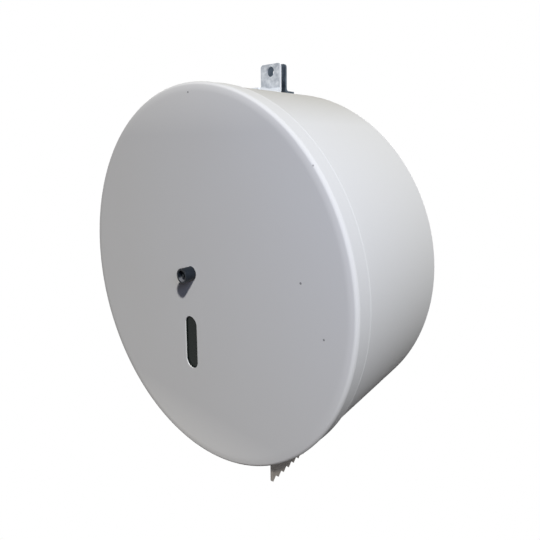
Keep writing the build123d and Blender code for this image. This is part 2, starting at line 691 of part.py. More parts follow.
# ---------------------------------------------------------------- axle and hub
def axle_foot():
    """Flange on the back plate, with a collar round the axle and its rivet holes."""
    plate_y = BACK_INSIDE_Y - FOOT_SHEET
    foot = rod(FOOT_RADIUS, plate_y, BACK_INSIDE_Y) + rod(FOOT_COLLAR_RADIUS, FOOT_COLLAR_Y, plate_y)
    foot -= rod(AXLE_RADIUS + SEAT_GAP, FOOT_COLLAR_Y, BACK_INSIDE_Y)
    return with_rivet_holes(foot, foot_rivet_places())


def axle_rivets():
    """Rivets through the axle's foot and the back plate, their flat ends flush at the wall side."""
    grip = FOOT_SHEET + BACK_SHEET
    top = (0, RIVET_HEAD_HEIGHT)
    brim = (RIVET_HEAD_RADIUS, 0)
    dome = TangentArc(top, brim, tangent=(1, 0))
    shank = Polyline(brim, (RIVET_RADIUS, 0), (RIVET_RADIUS, -grip), (0, -grip), top)
    solid = Rot(90, 0, 0) * revolve(make_face(Wire(edges_of([dome, shank]))), axis=Axis.Y)
    return placed(solid, foot_rivet_places())


def axle_tube():
    """Fixed tube from the back plate to the keeper cap."""
    return ring(AXLE_RADIUS, AXLE_RADIUS - AXLE_SHEET, KEEPER_REAR_Y, BACK_INSIDE_Y)


def keeper_cap():
    """Cap pressed into the axle: a flange that keeps the hub on and a slot that the cam goes through."""
    plug_outer = AXLE_RADIUS - AXLE_SHEET - SEAT_GAP
    cap = rod(KEEPER_FLANGE_RADIUS, KEEPER_FACE_Y, KEEPER_REAR_Y)
    cap += ring(plug_outer, plug_outer - KEEPER_PLUG_WALL, KEEPER_REAR_Y, KEEPER_REAR_Y + KEEPER_PLUG_LENGTH)
    slot = block(
        -KEEPER_SLOT_WIDTH / 2,
        KEEPER_SLOT_WIDTH / 2,
        KEEPER_FACE_Y,
        KEEPER_REAR_Y,
        -KEEPER_SLOT_LENGTH / 2,
        KEEPER_SLOT_LENGTH / 2,
    )
    return cap - slot


def thrust_washer(y_low):
    """Nylon washer beside the hub."""
    return ring(THRUST_WASHER_RADIUS, AXLE_RADIUS + SEAT_GAP, y_low, y_low + THRUST_WASHER)


def core_hub():
    """Moulded hub: sleeve on the axle, outer wall for the roll's core, webs, and a rear flange."""
    flange_y = HUB_REAR_Y - HUB_FLANGE
    nose_y = HUB_FRONT_Y + HUB_NOSE_LENGTH
    nose_radius = HUB_RADIUS - HUB_NOSE_TAPER
    outer = turned(
        (0, HUB_REAR_Y),
        (HUB_FLANGE_RADIUS, HUB_REAR_Y),
        (HUB_FLANGE_RADIUS, flange_y),
        (HUB_RADIUS, flange_y),
        (HUB_RADIUS, nose_y),
        (nose_radius, HUB_FRONT_Y),
        (0, HUB_FRONT_Y),
    )
    hollow = turned(
        (0, flange_y),
        (HUB_RADIUS - HUB_WALL, flange_y),
        (HUB_RADIUS - HUB_WALL, nose_y),
        (nose_radius - HUB_WALL, HUB_FRONT_Y),
        (0, HUB_FRONT_Y),
    )
    inside = rod(HUB_BORE + HUB_SLEEVE_WALL, HUB_FRONT_Y, flange_y)
    web = block(0, HUB_RADIUS, HUB_FRONT_Y, flange_y, -HUB_WEB / 2, HUB_WEB / 2)
    for i in range(HUB_WEBS):
        inside += Rot(0, 360 * i / HUB_WEBS, 0) * web
    hub = (outer - hollow) + (inside & outer)
    return hub - rod(HUB_BORE, HUB_FRONT_Y, HUB_REAR_Y)


# ---------------------------------------------------------------- write every piece
PIECES = {
    "drum_wall": drum_wall(),
    "back_plate": back_plate(),
    "tear_blade_right": tear_blade(1),
    "tear_blade_left": tear_blade(-1),
    "blade_rivets": blade_rivets(),
    "lug_front_ear": lug_ear(LUG_FRONT_Y, LUG_FRONT_FOOT, -1),
    "lug_rear_ear": lug_ear(LUG_REAR_EAR_Y, LUG_REAR_FOOT, 1),
    "lug_rivets": lug_rivets(),
    "hinge_leaf_drum": hinge_leaf_drum(),
    "hinge_leaf_lid": hinge_leaf_lid(),
    "hinge_pin": hinge_pin(),
    "hinge_rivets": hinge_rivets(),
    "lid_shell": lid_shell(),
    "window_pane": window_pane(),
    "pane_studs": pane_studs(),
    "pane_push_nuts": pane_push_nuts(),
    "lock_bush": lock_bush(),
    "lock_washer": lock_washer(),
    "lock_nut": lock_nut(),
    "lock_spindle": lock_spindle(),
    "spindle_clip": spindle_clip(),
    "lock_cam": lock_cam(),
    "cam_washer": cam_washer(),
    "cam_nut": cam_nut(),
    "axle_foot": axle_foot(),
    "axle_rivets": axle_rivets(),
    "axle_tube": axle_tube(),
    "keeper_cap": keeper_cap(),
    "rear_thrust_washer": thrust_washer(FOOT_COLLAR_Y - THRUST_WASHER),
    "front_thrust_washer": thrust_washer(KEEPER_REAR_Y),
    "core_hub": core_hub(),
}

os.makedirs("parts", exist_ok=True)
for name, piece in PIECES.items():
    export_step(piece, f"parts/{name}.step")
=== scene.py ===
# %% [markdown]
# # A jumbo toilet roll dispenser, dressed for its picture
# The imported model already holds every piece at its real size. This lesson loads it, gives every
# piece a finish made from nodes, models again the pieces that show most, with softer edges and
# rolled sheet, and sets the floor, the light and the camera.

import json
from math import asin, cos, hypot, radians, sin, sqrt

import bmesh
import bpy
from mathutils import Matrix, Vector

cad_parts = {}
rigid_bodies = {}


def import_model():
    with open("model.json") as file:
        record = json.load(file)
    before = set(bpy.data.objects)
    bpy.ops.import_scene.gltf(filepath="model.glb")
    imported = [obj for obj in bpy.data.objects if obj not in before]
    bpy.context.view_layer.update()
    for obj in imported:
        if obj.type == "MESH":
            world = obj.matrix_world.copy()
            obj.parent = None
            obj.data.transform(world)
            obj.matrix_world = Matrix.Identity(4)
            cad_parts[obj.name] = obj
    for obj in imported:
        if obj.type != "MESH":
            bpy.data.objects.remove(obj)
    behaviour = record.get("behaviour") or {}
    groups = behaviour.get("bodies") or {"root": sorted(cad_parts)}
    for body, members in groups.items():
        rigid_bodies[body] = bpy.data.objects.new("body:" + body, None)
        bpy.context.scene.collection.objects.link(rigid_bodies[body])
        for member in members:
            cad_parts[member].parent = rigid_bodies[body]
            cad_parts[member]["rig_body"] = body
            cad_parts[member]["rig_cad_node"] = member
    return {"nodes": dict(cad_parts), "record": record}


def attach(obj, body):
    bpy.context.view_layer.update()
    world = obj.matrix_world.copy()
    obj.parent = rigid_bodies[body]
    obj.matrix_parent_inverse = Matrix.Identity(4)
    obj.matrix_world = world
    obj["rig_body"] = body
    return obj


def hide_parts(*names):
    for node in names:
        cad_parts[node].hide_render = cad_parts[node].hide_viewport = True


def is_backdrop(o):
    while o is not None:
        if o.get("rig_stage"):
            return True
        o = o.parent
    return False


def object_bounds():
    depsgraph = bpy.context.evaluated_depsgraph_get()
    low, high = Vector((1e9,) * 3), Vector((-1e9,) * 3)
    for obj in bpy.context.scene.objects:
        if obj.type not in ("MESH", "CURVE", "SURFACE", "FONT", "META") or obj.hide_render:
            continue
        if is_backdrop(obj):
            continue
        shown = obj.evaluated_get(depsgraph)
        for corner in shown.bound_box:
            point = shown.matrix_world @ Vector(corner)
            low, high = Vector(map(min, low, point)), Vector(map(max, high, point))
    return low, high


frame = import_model()
cad_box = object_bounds()
MM = 0.001

# %% [markdown]
# ## Colour and nodes
# Colours are picked as sRGB hex codes, as on a paint card, and turned to the linear values that
# shaders work in. One small function adds a node with its settings and links, and another lays a
# colour over a finish, for wear on the real one and for painted light and shade.

# %% Colour, nodes and layers
def paint(code):
    """An sRGB hex colour as linear red, green, blue and alpha."""
    parts = [int(code[i : i + 2], 16) / 255 for i in (1, 3, 5)]
    return [c / 12.92 if c <= 0.04045 else ((c + 0.055) / 1.055) ** 2.4 for c in parts] + [1.0]


def add(tree, kind, inputs=None, **settings):
    """Adds a node; inputs maps a socket to a value or to another node's output."""
    made = tree.nodes.new(kind)
    for key, value in settings.items():
        setattr(made, key, value)
    for key, value in (inputs or {}).items():
        if isinstance(value, bpy.types.NodeSocket):
            tree.links.new(value, made.inputs[key])
        else:
            made.inputs[key].default_value = value
    return made


def per_mm(size):
    """Texture scale at which one feature of the pattern is about this many mm across."""
    return 1 / (size * MM)


def new_finish(name, **sockets):
    """A material with its node tree, its shader and the Object coordinates."""
    material = bpy.data.materials.new(name)
    material.use_nodes = True
    tree = material.node_tree
    shader = tree.nodes["Principled BSDF"]
    for key, value in sockets.items():
        shader.inputs[key.replace("_", " ")].default_value = value
    return material, tree, shader, add(tree, "ShaderNodeTexCoord").outputs["Object"]


def lay_over(material, mask, code):
    """Mixes a colour over a finish where the mask is 1."""
    tree = material.node_tree
    colour = tree.nodes["Principled BSDF"].inputs["Base Color"]
    mixed = {0: mask, 6: colour.links[0].from_socket, 7: paint(code)}
    mixed = add(tree, "ShaderNodeMix", mixed, data_type="RGBA")
    tree.links.new(mixed.outputs[2], colour)


print("white on a paint card, linear:", [round(c, 2) for c in paint("#E3E4E4")])

# %% [markdown]
# ## White baked enamel
# The drum, its back and the lid are steel sheet with a white coat that is sprayed on and baked.
# The eye sees a soft satin white with a faint orange peel a few millimetres wide and broad,
# barely visible clouds from wiping. Noise at three sizes gives these. Two tones follow the way
# the surface faces, and both are painted shade: a greyer white on the sides and a darker, warm
# tone on what looks up. The normal, turned to two masks, lays them over.

# %% White enamel
CLOUD_SIZE, WIPE_SIZE, PEEL_SIZE, PEEL_HEIGHT = 70, 25, 2.6, 0.012
ENAMEL_SMOOTHEST, ENAMEL_DULLEST = 0.62, 0.74
# Painted shade: a greyer white on the sides, where the normal turns from the front.
SIDE_SHADE, SIDE_SHADE_STARTS, SIDE_SHADE_WHOLE = "#E4E5E5", -0.95, -0.5
# Painted shade on what looks up: where its mask starts and where it is whole.
TOP_SHADE_STARTS, TOP_SHADE_WHOLE = 0.78, 1.0


def white_enamel(name, light, shade, painted_shade_and_light):
    """Sprayed and baked white coat on sheet steel, with painted shade on its sides and on top."""
    material, tree, shader, place = new_finish(name, IOR=1.06)
    clouds = {"Vector": place, "Scale": per_mm(CLOUD_SIZE), "Detail": 3.0}
    clouds = add(tree, "ShaderNodeTexNoise", clouds)
    tint = {0: clouds.outputs["Fac"], 6: paint(light), 7: paint(shade)}
    tint = add(tree, "ShaderNodeMix", tint, data_type="RGBA")
    tree.links.new(tint.outputs[2], shader.inputs["Base Color"])
    facing = add(tree, "ShaderNodeTexCoord").outputs["Normal"]
    facing = add(tree, "ShaderNodeSeparateXYZ", {0: facing}).outputs
    # Painted shade: the sides, which turn away from the front, get the greyer white.
    side = {"Value": facing["Y"], "From Min": SIDE_SHADE_STARTS, "From Max": SIDE_SHADE_WHOLE}
    side = add(tree, "ShaderNodeMapRange", side)
    lay_over(material, side.outputs[0], SIDE_SHADE)
    # Painted shade: what looks up gets the darker colour given last.
    top = {"Value": facing["Z"], "From Min": TOP_SHADE_STARTS, "From Max": TOP_SHADE_WHOLE}
    top = add(tree, "ShaderNodeMapRange", top)
    lay_over(material, top.outputs[0], painted_shade_and_light)
    wiped = add(tree, "ShaderNodeTexNoise", {"Vector": place, "Scale": per_mm(WIPE_SIZE)})
    rough = {"Value": wiped.outputs["Fac"]}
    rough |= {"To Min": ENAMEL_SMOOTHEST, "To Max": ENAMEL_DULLEST}
    rough = add(tree, "ShaderNodeMapRange", rough)
    tree.links.new(rough.outputs[0], shader.inputs["Roughness"])
    peel = {"Vector": place, "Scale": per_mm(PEEL_SIZE), "Detail": 1.0}
    peel = add(tree, "ShaderNodeTexNoise", peel)
    height = {"Height": peel.outputs["Fac"], "Distance": PEEL_HEIGHT * MM, "Strength": 0.35}
    raised = add(tree, "ShaderNodeBump", height)
    tree.links.new(raised.outputs[0], shader.inputs["Normal"])
    return material


# The last colour of each coat is its painted shade on top, darker on the drum, faint on the lid.
drum_coat = white_enamel("white_enamel_drum", "#E5E6E6", "#E2E2E1", "#CFCEC9")
# The lid's coat is a lighter, bluer copy of the drum's enamel: painted light for its face.
lid_coat_painted_light = white_enamel("white_enamel_lid_painted_light", "#EFF0F2", "#EDEDEE", "#E4E4E2")
print("enamel:", drum_coat.name, lid_coat_painted_light.name)

# %% [markdown]
# Painted light makes the lid's face whiter towards its upper and lower edge than in its middle.
# How far a point lies above or below the lock gives one mask, and the normal gives a second,
# which keeps the painted light to the face.

# %% Painted light on the upper and lower edge of the lid
LIT_BAND_STARTS, LIT_BAND_WHOLE = 112, 146
FACE_ENDS, FACE_WHOLE = -0.6, -0.95

tree = lid_coat_painted_light.node_tree
place = add(tree, "ShaderNodeTexCoord").outputs
height = add(tree, "ShaderNodeSeparateXYZ", {0: place["Object"]}).outputs["Z"]
height = add(tree, "ShaderNodeMath", {0: height}, operation="ABSOLUTE").outputs[0]
edge = {"Value": height, "From Min": LIT_BAND_STARTS * MM, "From Max": LIT_BAND_WHOLE * MM}
edge = add(tree, "ShaderNodeMapRange", edge)
front = add(tree, "ShaderNodeSeparateXYZ", {0: place["Normal"]}).outputs["Y"]
front = {"Value": front, "From Min": FACE_ENDS, "From Max": FACE_WHOLE}
front = add(tree, "ShaderNodeMapRange", front)
painted_light_band = {0: edge.outputs[0], 1: front.outputs[0]}
painted_light_band = add(tree, "ShaderNodeMath", painted_light_band, operation="MULTIPLY")
# Painted light: pure white towards the lid's upper and lower edge.
lay_over(lid_coat_painted_light, painted_light_band.outputs[0], "#FFFFFF")
# The painted light starts at this height above and below the lock.
print("the lid keeps its white from", LIT_BAND_STARTS, "mm above and below the lock")

# %% [markdown]
# Small knocks have chipped the coat down to the dull grey primer. Each chip is a spot a
# millimetre or two wide, at its own place on the face. The distance from a point on the lid to
# the spot, turned to a mask with a soft rim, lays the primer over the white.

# %% Chips in the lid's coat
CHIPS = ((120.0, 91.0, 0.9), (110.5, 15.0, 0.8), (128.5, -17.5, 0.7), (2.5, 144.0, 0.7))
LID_FACE, PRIMER, CHIP_CORE, CHIP_RIM = -124.0, "#77757A", 0.7, 1.3

tree = lid_coat_painted_light.node_tree
place = add(tree, "ShaderNodeTexCoord").outputs["Object"]
for x, z, radius in CHIPS:
    spot = (x * MM, LID_FACE * MM, z * MM)
    away = add(tree, "ShaderNodeVectorMath", {0: place, 1: spot}, operation="DISTANCE")
    bare = {"Value": away.outputs["Value"], "To Min": 0.8, "To Max": 0.0}
    bare |= {"From Min": CHIP_CORE * radius * MM, "From Max": CHIP_RIM * radius * MM}
    bare = add(tree, "ShaderNodeMapRange", bare)
    lay_over(lid_coat_painted_light, bare.outputs[0], PRIMER)
print("chips in the lid:", len(CHIPS))

# %% [markdown]
# ## Zinc, strip and steel
# The lug and the hinge are zinc plate, whose crystals give soft patches a few millimetres wide.
# A painted highlight makes it brighter where the sun strikes it, and painted shade makes the rear
# angle blue-grey in the shadow of the front one. The blades are dull galvanised strip, painted
# darker and browner than it is as painted shade, because they hang in shadow. Rivets, nuts and
# the axle are plain steel with fine lines from turning or drawing.

# %% Metals
LINE_SIZE, LINE_HEIGHT = 1.2, 0.01


def plated_steel(name, light, shade, patch, low, high, metal=1.0, stretch=(1, 1, 1)):
    """Patches of tone, patch mm wide, and fine lines drawn out where stretch is small.

    low and high are the ends of its roughness, and metal is below 1 where a coat dulls it.
    """
    material, tree, shader, place = new_finish(name, Metallic=metal)
    crystals = {"Vector": place, "Scale": per_mm(patch), "Detail": 4.0, "Roughness": 0.6}
    crystals = add(tree, "ShaderNodeTexNoise", crystals)
    spread = {"Value": crystals.outputs["Fac"], "From Min": 0.35, "From Max": 0.65}
    spread = add(tree, "ShaderNodeMapRange", spread)
    tint = {0: spread.outputs[0], 6: paint(light), 7: paint(shade)}
    tint = add(tree, "ShaderNodeMix", tint, data_type="RGBA")
    tree.links.new(tint.outputs[2], shader.inputs["Base Color"])
    drawn = add(tree, "ShaderNodeMapping", {"Vector": place, "Scale": stretch})
    lines = {"Vector": drawn.outputs[0], "Scale": per_mm(LINE_SIZE)}
    lines = add(tree, "ShaderNodeTexNoise", lines)
    rough = {"Value": lines.outputs["Fac"], "To Min": low, "To Max": high}
    rough = add(tree, "ShaderNodeMapRange", rough)
    tree.links.new(rough.outputs[0], shader.inputs["Roughness"])
    height = {"Height": lines.outputs["Fac"], "Distance": LINE_HEIGHT * MM, "Strength": 0.4}
    raised = add(tree, "ShaderNodeBump", height)
    tree.links.new(raised.outputs[0], shader.inputs["Normal"])
    return material


zinc = plated_steel("bright_zinc_plate", "#DDE1E6", "#B4BAC2", 4.5, 0.35, 0.6, metal=0.5)
# The rear angle's zinc is a darker, bluer copy: painted shade for the front angle's shadow.
shaded_zinc = plated_steel("zinc_plate_painted_shade", "#6B7784", "#454F5B", 5.0, 0.35, 0.55, metal=0.8)
# Painted darker and browner than bare strip, as painted shade for blades that hang in shadow.
shaded_blade_steel = plated_steel("galvanised_strip_painted_shade", "#96908A", "#827C75", 7.0, 0.5, 0.7, metal=0.15)
steel = plated_steel("turned_steel", "#C2C3C4", "#A5A6A8", 9.0, 0.2, 0.4, stretch=(1, 0.1, 1))
print("metals:", zinc.name, shaded_zinc.name, shaded_blade_steel.name, steel.name)

# %% [markdown]
# The cut side of the lug's front angle, its bend and its foot get a painted highlight, brighter
# than the ear, where the sun strikes them. Two ranges of the place on the lug say where: near its
# right side, and below the top of the bend. The hinge is of the same plate and lies lower still,
# so it gets the painted highlight all over.

# %% Painted highlight on side, bend and foot
PAINTED_HIGHLIGHT_ZINC = "#E6EBF2"
SIDE_STARTS, SIDE_WHOLE = 11.3, 11.7
BEND_STARTS, BEND_WHOLE = 156.0, 155.2

tree = zinc.node_tree
place = add(tree, "ShaderNodeTexCoord").outputs["Object"]
place = add(tree, "ShaderNodeSeparateXYZ", {0: place}).outputs
side = {"Value": place["X"], "From Min": SIDE_STARTS * MM, "From Max": SIDE_WHOLE * MM}
side = add(tree, "ShaderNodeMapRange", side)
bend = {"Value": place["Z"], "From Min": BEND_STARTS * MM, "From Max": BEND_WHOLE * MM}
bend = add(tree, "ShaderNodeMapRange", bend)
painted_highlight = {0: side.outputs[0], 1: bend.outputs[0]}
painted_highlight = add(tree, "ShaderNodeMath", painted_highlight, operation="MAXIMUM")
# Painted highlight where the sun strikes the side, bend and foot.
lay_over(zinc, painted_highlight.outputs[0], PAINTED_HIGHLIGHT_ZINC)
print("the zinc is brighter from", SIDE_STARTS, "mm to the right and below", BEND_STARTS, "mm")

# %% [markdown]
# ## Mouldings and the pane
# The knob is dark slate nylon, the hub grey ABS and the washers natural nylon. All come from
# steel tools with a fine, even texture. The pane is smoked acrylic, so dark that its strip reads
# as a nearly black green, and this near-black is partly painted shade for the dark inside of the
# drum behind it. Handling has dulled the knob, and a film lies on the pane, so both get a lower
# index than fresh plastic, which weakens their gloss.

# %% Plastics
def moulding(name, light, shade, low, high, grain, depth, index=1.45):
    """Moulded plastic with the fine, even texture of its tool.

    low and high are the ends of its roughness, and the texture is grain mm wide and depth mm deep.
    """
    material, tree, shader, place = new_finish(name, IOR=index)
    flow = add(tree, "ShaderNodeTexNoise", {"Vector": place, "Scale": per_mm(6 * grain)})
    tint = {0: flow.outputs["Fac"], 6: paint(light), 7: paint(shade)}
    tint = add(tree, "ShaderNodeMix", tint, data_type="RGBA")
    tree.links.new(tint.outputs[2], shader.inputs["Base Color"])
    texture = add(tree, "ShaderNodeTexNoise", {"Vector": place, "Scale": per_mm(grain)})
    rough = {"Value": texture.outputs["Fac"], "To Min": low, "To Max": high}
    rough = add(tree, "ShaderNodeMapRange", rough)
    tree.links.new(rough.outputs[0], shader.inputs["Roughness"])
    height = {"Height": texture.outputs["Fac"], "Distance": depth * MM, "Strength": 0.5}
    raised = add(tree, "ShaderNodeBump", height)
    tree.links.new(raised.outputs[0], shader.inputs["Normal"])
    return material


slate_nylon = moulding("slate_nylon_moulding", "#2B323B", "#0E1217", 0.3, 0.45, 0.9, 0.02, 1.25)
hub_plastic = moulding("grey_abs_moulding", "#A5A8AA", "#979A9C", 0.42, 0.58, 0.8, 0.015)
nylon = moulding("natural_nylon", "#E4E0D2", "#D9D4C4", 0.36, 0.5, 0.7, 0.01)
# The pane's near-black green is partly painted shade for the dark drum behind it.
smoked_pane = moulding("smoked_acrylic_painted_shade", "#18211E", "#101614", 0.2, 0.34, 4.0, 0.002, 1.2)
print("plastics:", slate_nylon.name, hub_plastic.name, nylon.name, smoked_pane.name)

# %% [markdown]
# Painted light makes the lower side of the key recess a paler grey, where the sun falls on its
# inner wall. It lies inside the recess's wall and below the axis of the lock, so two ranges of
# the place on the knob say where.

# %% Painted light in the key recess
RECESS_EDGE, RECESS_INSIDE = 4.65, 4.45
LOW_STARTS, LOW_WHOLE = -1.6, -3.0
RECESS_PAINTED_LIGHT = "#7D7F84"

tree = slate_nylon.node_tree
place = add(tree, "ShaderNodeTexCoord").outputs["Object"]
across = add(tree, "ShaderNodeVectorMath", {0: place, 1: (1, 0, 1)}, operation="MULTIPLY")
off_axis = add(tree, "ShaderNodeVectorMath", {0: across.outputs[0]}, operation="LENGTH")
recess = {"Value": off_axis.outputs["Value"]}
recess |= {"From Min": RECESS_EDGE * MM, "From Max": RECESS_INSIDE * MM}
recess = add(tree, "ShaderNodeMapRange", recess)
height = add(tree, "ShaderNodeSeparateXYZ", {0: place}).outputs["Z"]
low = {"Value": height, "From Min": LOW_STARTS * MM, "From Max": LOW_WHOLE * MM}
low = add(tree, "ShaderNodeMapRange", low)
painted_light_mask = {0: recess.outputs[0], 1: low.outputs[0]}
painted_light_mask = add(tree, "ShaderNodeMath", painted_light_mask, operation="MULTIPLY")
# Painted light on the lower wall of the recess, where the sun falls in.
lay_over(slate_nylon, painted_light_mask.outputs[0], RECESS_PAINTED_LIGHT)
# The painted light in the recess starts this far under its axis.
print("dust in the key recess from", -LOW_STARTS, "mm under its axis")

# %% [markdown]
# ## A finish for every imported piece
# The record names a material slot for each piece. Each slot gets its finish, and later the lug's
# rear angle gets a darker zinc, painted shade, because it stands in the shadow of the front one.

# %% Finishes by slot
FINISHES = {
    "white_coat": drum_coat,
    "zinc_plate": zinc,
    "galvanised_blade": shaded_blade_steel,
    "bright_steel": steel,
    "black_lock": slate_nylon,
    "hub_plastic": hub_plastic,
    "nylon": nylon,
    "smoked_pane": smoked_pane,
}
slots = {part["node"]: part["material_slot"] for part in frame["record"]["subparts"]}
for name, slot in slots.items():
    node = frame["nodes"][name]
    node.data.materials.clear()
    node.data.materials.append(FINISHES[slot])
print("packed pieces finished:", len(slots))

# %% [markdown]
# ## Working by hand, in code
# Operators act on whatever is selected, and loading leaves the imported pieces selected. So each
# step first clears the selection, and then picks vertices, edges or faces by where they are.

# %% Selecting
SLACK = 0.02


def only(piece=None):
    """Object mode with one object selected and active, or with none."""
    if bpy.context.mode != "OBJECT":
        bpy.ops.object.mode_set(mode="OBJECT")
    bpy.ops.object.select_all(action="DESELECT")
    if piece:
        piece.select_set(True)
        bpy.context.view_layer.objects.active = piece


def edit(piece):
    """Opens a piece in edit mode with nothing selected."""
    only(piece)
    bpy.ops.object.mode_set(mode="EDIT")
    bpy.ops.mesh.select_all(action="DESELECT")


def pick(piece, kind, test):
    """Selects the vertices, edges or faces whose corners all pass a test on x, y, z in mm."""
    bpy.ops.mesh.select_mode(type=kind)
    bpy.ops.mesh.select_all(action="DESELECT")
    mesh = bmesh.from_edit_mesh(piece.data)
    for part in {"VERT": mesh.verts, "EDGE": mesh.edges, "FACE": mesh.faces}[kind]:
        corners = [part] if kind == "VERT" else part.verts
        if all(test(*(corner.co / MM)) for corner in corners):
            part.select_set(True)
    bmesh.update_edit_mesh(piece.data)


def near(value, target):
    """Whether a length in mm is the target, within the slack."""
    return abs(value - target) < SLACK


only()
print("selected now:", len(bpy.context.selected_objects))

# %% [markdown]
# ## The lid's blank
# The real lid is drawn from one disc of steel. A cylinder has its size. Its rear cap is taken
# away, because the lid is open behind. The place of a new primitive is moved into its mesh, so
# that every finished piece sits at the origin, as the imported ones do.

# %% A round blank
LID_REAR, LID_RADIUS, ROUND_SIDES = -108.0, 152.1, 256


def rod(name, radius, front, rear, x=0.0, z=0.0, sides=64, tip=None, caps="NGON"):
    """Round bar along Y from its front to its rear; tip is the front radius of a tapered one."""
    only()
    bpy.ops.mesh.primitive_cone_add(
        vertices=sides,
        radius1=(radius if tip is None else tip) * MM,
        radius2=radius * MM,
        depth=(rear - front) * MM,
        end_fill_type=caps,
        location=(x * MM, (front + rear) / 2 * MM, z * MM),
        rotation=(radians(-90), 0, 0),
    )
    bar = bpy.context.object
    bar.name = bar.data.name = name
    bpy.ops.object.transform_apply(location=True, rotation=True, scale=True)
    return bar


lid = rod("lid", LID_RADIUS, LID_FACE, LID_REAR, sides=ROUND_SIDES)
edit(lid)
pick(lid, "FACE", lambda x, y, z: near(y, LID_REAR))
bpy.ops.mesh.delete(type="FACE")
print("lid blank:", len(lid.data.vertices), "vertices")

# %% [markdown]
# ## The lid's drawn edge and bead
# Drawing leaves a crown near the edge, where the flat face starts to fall, and then a tight
# corner into the skirt. Three insets of the face make three rings, which are moved back by the
# fall of the crown, and a bevel rounds the corner. At its open end the skirt flares into a fine
# bead, which stiffens it. Solidify then gives the sheet its millimetre.

# %% Crown, corner and bead
CROWN = ((2.5, 0.8), (2.5, 0.3), (2.5, 0.1))
CORNER_RADIUS, BEAD_WIDTH, BEAD_FLARE, LID_SHEET = 2.2, 0.9, 0.4, 1.0


def apply(piece, kind, **settings):
    """Adds a modifier to a piece and applies it."""
    only(piece)
    modifier = piece.modifiers.new(kind.title(), kind)
    for key, value in settings.items():
        setattr(modifier, key, value)
    bpy.ops.object.modifier_apply(modifier=modifier.name)


pick(lid, "FACE", lambda x, y, z: near(y, LID_FACE))
for width, _ in CROWN:
    bpy.ops.mesh.inset(thickness=width * MM)
level, radius = LID_FACE, LID_RADIUS - sum(width for width, _ in CROWN)
for width, fall in reversed(CROWN):
    pick(lid, "VERT", lambda x, y, z: near(y, level) and hypot(x, z) > radius + 0.1)
    bpy.ops.transform.translate(value=(0, fall * MM, 0))
    level, radius = level + fall, radius + width
pick(lid, "EDGE", lambda x, y, z: near(y, level))
bpy.ops.mesh.bevel(offset=CORNER_RADIUS * MM, segments=8, profile=0.5, affect="EDGES")
pick(lid, "EDGE", lambda x, y, z: near(y, LID_REAR))
bpy.ops.mesh.extrude_region_move()
grow = (LID_RADIUS + BEAD_FLARE) / LID_RADIUS
bpy.ops.transform.resize(value=(grow, 1, grow), center_override=(0, LID_REAR * MM, 0))
pick(lid, "VERT", lambda x, y, z: near(y, LID_REAR) and hypot(x, z) < LID_RADIUS + 0.1)
bpy.ops.transform.translate(value=(0, -BEAD_WIDTH * MM, 0))
apply(lid, "SOLIDIFY", thickness=LID_SHEET * MM, offset=-1, use_even_offset=True)
print("lid sheet:", len(lid.data.polygons), "faces")

# %% [markdown]
# ## Sight slot and lock hole
# The press punches both holes. The slot's punch is a rod whose upper half is moved up and whose
# lower half is moved down. Boolean takes the punches out, a small bevel breaks every sharp edge,
# and weighted normals keep the flat faces flat beside the small round ones.

# %% Punching the holes and easing the edges
SLOT_WIDTH, SLOT_LENGTH, SLOT_X, SLOT_Z, LOCK_HOLE = 14.6, 44.5, -3.0, -59.7, 5.1
PUNCH_FRONT, PUNCH_REAR = LID_FACE - 2, LID_FACE + 4


def cut(piece, *punches):
    """Takes the punches out of a piece and removes them."""
    for punch in punches:
        apply(piece, "BOOLEAN", operation="DIFFERENCE", solver="EXACT", object=punch)
        bpy.data.objects.remove(punch)


def soften(piece, width, segments=2, smooth=40):
    """Breaks the sharp edges, in mm, and shades the rest smoothly."""
    bevel = {"width": width * MM, "segments": segments, "angle_limit": radians(35)}
    apply(piece, "BEVEL", limit_method="ANGLE", use_clamp_overlap=True, **bevel)
    only(piece)
    bpy.ops.object.shade_smooth_by_angle(angle=radians(smooth))
    apply(piece, "WEIGHTED_NORMAL", mode="FACE_AREA", weight=50, keep_sharp=True)


punch = rod("slot_punch", SLOT_WIDTH / 2, PUNCH_FRONT, PUNCH_REAR, SLOT_X, SLOT_Z, sides=48)
reach = (SLOT_LENGTH - SLOT_WIDTH) / 2 * MM
edit(punch)
pick(punch, "VERT", lambda x, y, z: z > SLOT_Z + 0.01)
bpy.ops.transform.translate(value=(0, 0, reach))
pick(punch, "VERT", lambda x, y, z: z < SLOT_Z - 0.01)
bpy.ops.transform.translate(value=(0, 0, -reach))
cut(lid, punch, rod("lock_punch", LOCK_HOLE, PUNCH_FRONT, PUNCH_REAR))
soften(lid, 0.3)
print("lid:", len(lid.data.polygons), "faces")

# %% [markdown]
# ## Tying a piece to the imported model
# Each new piece rides on a body of the imported model, so that it moves with it. It stands for the
# imported piece of the same shape, which is then hidden, and gets the finish it is given.

# %% Tying the lid
def stands_for(piece, node, finish):
    """The piece rides on the node's body, hides the node and gets a finish."""
    piece.data.materials.clear()
    piece.data.materials.append(finish)
    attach(piece, frame["nodes"][node]["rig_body"])
    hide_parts(node)


stands_for(lid, "lid_shell", lid_coat_painted_light)

# %% [markdown]
# ## The drum
# The wall is a rolled strip whose front edge is folded back on itself, so no raw edge meets the
# hand that reloads it. A tube gets its sheet thickness, a cut line round it marks the fold, and
# the faces in front of that line are thickened inwards.

# %% Rolled wall with its folded front edge
DRUM_RADIUS, DRUM_FRONT, DRUM_SHEET, FOLD, FOLD_ROUND = 151.0, -118.0, 1.2, 8.0, 0.9

